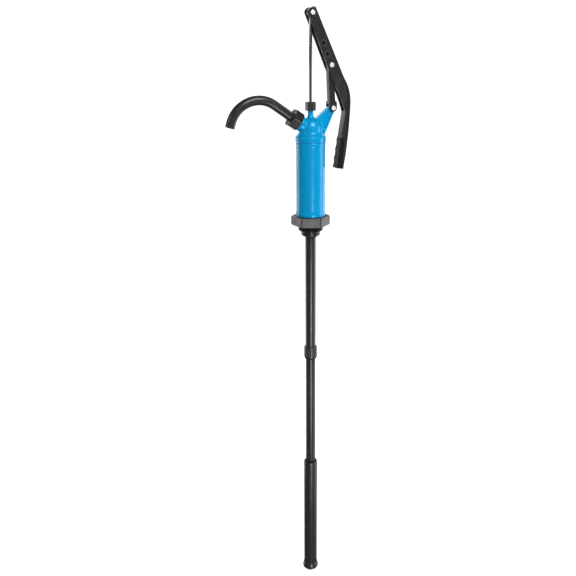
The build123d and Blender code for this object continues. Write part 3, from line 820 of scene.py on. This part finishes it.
spout_end = straight_length + bend_length + outlet_length
row_gap = 3.0
outer = [(spout_radius, spout_collar)]
outer += rows_between(spout_radius, 6.0, spout_end - 2.0, row_gap)
outer += [
    (spout_radius - 0.05, spout_end - 1.2),
    (spout_radius - 0.4, spout_end - 0.5),
    (spout_radius - 1.0, spout_end - 0.1),
    (spout_radius - 1.4, spout_end),
]
inner = [(spout_bore + 0.5, spout_end - 0.1), (spout_bore + 0.1, spout_end - 0.5)]
inner += rows_between(spout_bore, spout_end - 2.0, 0.0, row_gap)
collar = [(spout_collar_radius, 0.0), (spout_collar_radius, spout_collar)]
place("spout_tube", turned("spout_tube", outer + inner + collar, spout_axis, 64), "spout")

union_flats = 41.0
union_low = 36.7
union_high = 58.7
union_chamfer = 1.2
union_bore = 16.6
union_floor = union_high - 4.4
dish_floor = union_high - 0.8
lip_top = union_high - 0.2
spout_hole = spout_radius + 0.05
union_axis = straight(port_start - port_way * port_seat * mm, port_way, across)
union_profile = hex_profile(union_flats, union_low, union_high, union_chamfer, union_bore)[:-1]
union_profile += [
    (17.5, union_high),
    (16.8, dish_floor),
    (12.0, dish_floor),
    (11.6, lip_top),
    (spout_hole, lip_top),
    (spout_hole, union_floor),
    (union_bore, union_floor),
]
union_mesh = turned("union_hexagon", union_profile, union_axis, 180, hexagon(union_flats))
place("union_hexagon", union_mesh, "union_nut")

# ---------------------------------------------------------------- lever, grip and link
refined("lever_body", "lever_arm", 0.9)
refined("grip_body", "grip_pad", 1.2)

# Raised rims round the lever's two spare holes, in a paler black that is a painted highlight; distances are from
# its rod pivot.
spare_holes = (71.0, 97.4)
hole_rim_radius = 6.5
hole_rim_half_width = 1.1
hole_rim_face = 10.8
hole_rim_half_height = 0.9
hole_rim_points = 12
hole_rim_turns = [2 * pi * i / hole_rim_points for i in range(hole_rim_points)]
hole_rim_profile = [
    (hole_rim_radius + hole_rim_half_width * cos(turn), hole_rim_face + hole_rim_half_height * sin(turn))
    for turn in hole_rim_turns
]
cheek_way = (link_pivot - rod_pivot).normalized()
for number, distance in enumerate(spare_holes, start=1):
    for side, way in (("near", -across), ("far", across)):
        at = straight(rod_pivot + cheek_way * distance * mm, way, handle_side)
        name = f"spare_hole_{number}_ring_{side}"
        ring = place(name, turned(name, hole_rim_profile, at, 64), "lever_arm", stands_for=False)
        # each rim takes the paler black whose pale colour is a painted highlight
        ring.data.materials[0] = painted_highlight_black
refined("link_body", "link", 0.8)


# ---------------------------------------------------------------- bolts and nuts
bolt_flats = 10.0
bolt_turn = radians(12.0)
shank_radius = 3.0
shank_chamfer = 0.6
washer_radius = 4.7
washer_height = 0.35
head_chamfer = 0.9
dish_rim = 3.9
dish_radius = 2.9
dish_depth = 0.9
nut_bore_radius = shank_radius + 0.05
nut_bore_chamfer = 0.5
screw_tip = 8.1
screw_head = 4.2


def head_profile(face, top):
    """Hexagon head or nut on a face: washer ring, chamfered hexagon and the rim of its top."""
    profile = [(washer_radius, face), (washer_radius, face + washer_height)]
    profile += hex_profile(bolt_flats, face + washer_height, top, head_chamfer, 0.0)[1:-1]
    return profile + [(dish_rim, top)]


def dish(top):
    """Shallow dish in the top of a head, down to the axis."""
    return [(dish_radius, top - dish_depth), (0, top - dish_depth)]


def fastener(name, node, way, profile):
    """A bolt, screw or nut on its node's own axis; heights run outwards along way from Y = 0."""
    low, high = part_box(node)
    centre = Vector(((low.x + high.x) / 2, 0, (low.z + high.z) / 2))
    mesh = turned(name, profile, straight(centre, way, handle_side), 96, hexagon(bolt_flats, bolt_turn))
    return place(name, mesh, node)


for label in ("lever_pivot", "bracket"):
    bolt_low, bolt_high = size(f"{label}_bolt")
    nut_low, nut_high = size(f"{label}_nut")
    head_top = -bolt_low.y
    clamp_face = nut_low.y
    nut_top = nut_high.y
    shank = [
        (0, -bolt_high.y),
        (shank_radius - shank_chamfer, -bolt_high.y),
        (shank_radius, shank_chamfer - bolt_high.y),
        (shank_radius, clamp_face),
    ]
    bolt_profile = shank + head_profile(clamp_face, head_top) + dish(head_top)
    fastener(f"{label}_bolt_body", f"{label}_bolt", -across, bolt_profile)
    nut_bore = [
        (shank_radius + nut_bore_chamfer, nut_top),
        (nut_bore_radius, nut_top - nut_bore_chamfer),
        (nut_bore_radius, clamp_face),
    ]
    nut_profile = head_profile(clamp_face, nut_top) + nut_bore
    fastener(f"{label}_nut_body", f"{label}_nut", across, nut_profile)

screw_top = size("link_pivot_screws")[1].y
screw_face = screw_top - screw_head
screw_profile = [(0, screw_tip), (shank_radius, screw_tip), (shank_radius, screw_face)]
screw_profile += head_profile(screw_face, screw_top) + dish(screw_top)
for label, way in (("near", -across), ("far", across)):
    fastener(f"link_pivot_screw_{label}", "link_pivot_screws", way, screw_profile)

# ---------------------------------------------------------------- stage and lights
stage_material, _, stage_surface = material("stage", (0.9, 0.9, 0.9), 0.9)
stage_surface.inputs["Specular IOR Level"].default_value = 0.0
stage_surface.inputs["Emission Color"].default_value = (1.0, 1.0, 1.0, 1.0)
stage_surface.inputs["Emission Strength"].default_value = 1.0
stage_reach = 6.0
stage_rise = 6.0
stage_segments = 64
floor_gap = 0.0006
floor_level = cad_box[0].z - floor_gap


def stage_piece(name, rings):
    """A piece of the pale stage that only the camera sees.

    One ring of (radius, height) is filled as a disc, and several are joined into a wall.
    """
    work = bmesh.new()
    turns = [2 * pi * i / stage_segments for i in range(stage_segments)]
    rows = []
    for radius, height in rings:
        rows.append([work.verts.new((radius * cos(turn), radius * sin(turn), height)) for turn in turns])
    for i in range(stage_segments):
        for first, second in zip(rows, rows[1:]):
            work.faces.new((first[i - 1], first[i], second[i], second[i - 1]))
    if len(rings) == 1:
        work.faces.new(rows[0])
    mesh = bpy.data.meshes.new(name)
    work.to_mesh(mesh)
    work.free()
    mesh.materials.append(stage_material)
    piece = bpy.data.objects.new(name, mesh)
    bpy.context.scene.collection.objects.link(piece)
    piece.visible_diffuse = False
    piece.visible_glossy = False
    piece.visible_shadow = False


stage_piece("floor", [(stage_reach, floor_level)])
stage_piece("backdrop", [(stage_reach, floor_level), (stage_reach, stage_rise)])

world = bpy.data.worlds.new("studio")
world.use_nodes = True
ambient = world.node_tree.nodes["Background"]
ambient.inputs["Color"].default_value = (1.0, 1.0, 1.0, 1.0)
ambient.inputs["Strength"].default_value = 0.12
bpy.context.scene.world = world
bpy.context.scene.view_settings.view_transform = "Standard"


def around(turn, reach, height):
    """A point round the pump, at a turn in degrees to the right of the camera."""
    angle = camera_turn - radians(turn)
    return Vector((-sin(angle) * reach, -cos(angle) * reach, height))


def softbox(name, turn, reach, height, width, tall, power, target):
    """A soft rectangular studio light that faces the pump axis at a target height."""
    light = bpy.data.lights.new(name, "AREA")
    light.shape = "RECTANGLE"
    light.size = width
    light.size_y = tall
    light.energy = power
    lamp = bpy.data.objects.new(name, light)
    bpy.context.scene.collection.objects.link(lamp)
    lamp.visible_camera = False
    aim(lamp, around(turn, reach, height), (0, 0, target))


softbox("strip", turn=17, reach=2.2, height=-1.2, width=0.32, tall=1.3, power=35.0, target=-1.2)
softbox("key", turn=30, reach=1.5, height=1.65, width=0.95, tall=0.95, power=36.0, target=0.25)
softbox("left_fill", turn=-60, reach=2.0, height=1.0, width=0.6, tall=0.6, power=5.0, target=0.3)
softbox("left_side", turn=-118, reach=1.5, height=-0.6, width=0.8, tall=2.0, power=12.0, target=-0.6)
softbox("left_wrap", turn=-160, reach=1.5, height=0.1, width=0.8, tall=2.6, power=14.0, target=0.0)
softbox("right_side", turn=95, reach=1.6, height=-0.7, width=0.8, tall=2.6, power=15.0, target=-0.7)
softbox("right_wrap", turn=136, reach=1.5, height=0.1, width=0.7, tall=2.6, power=14.0, target=0.0)
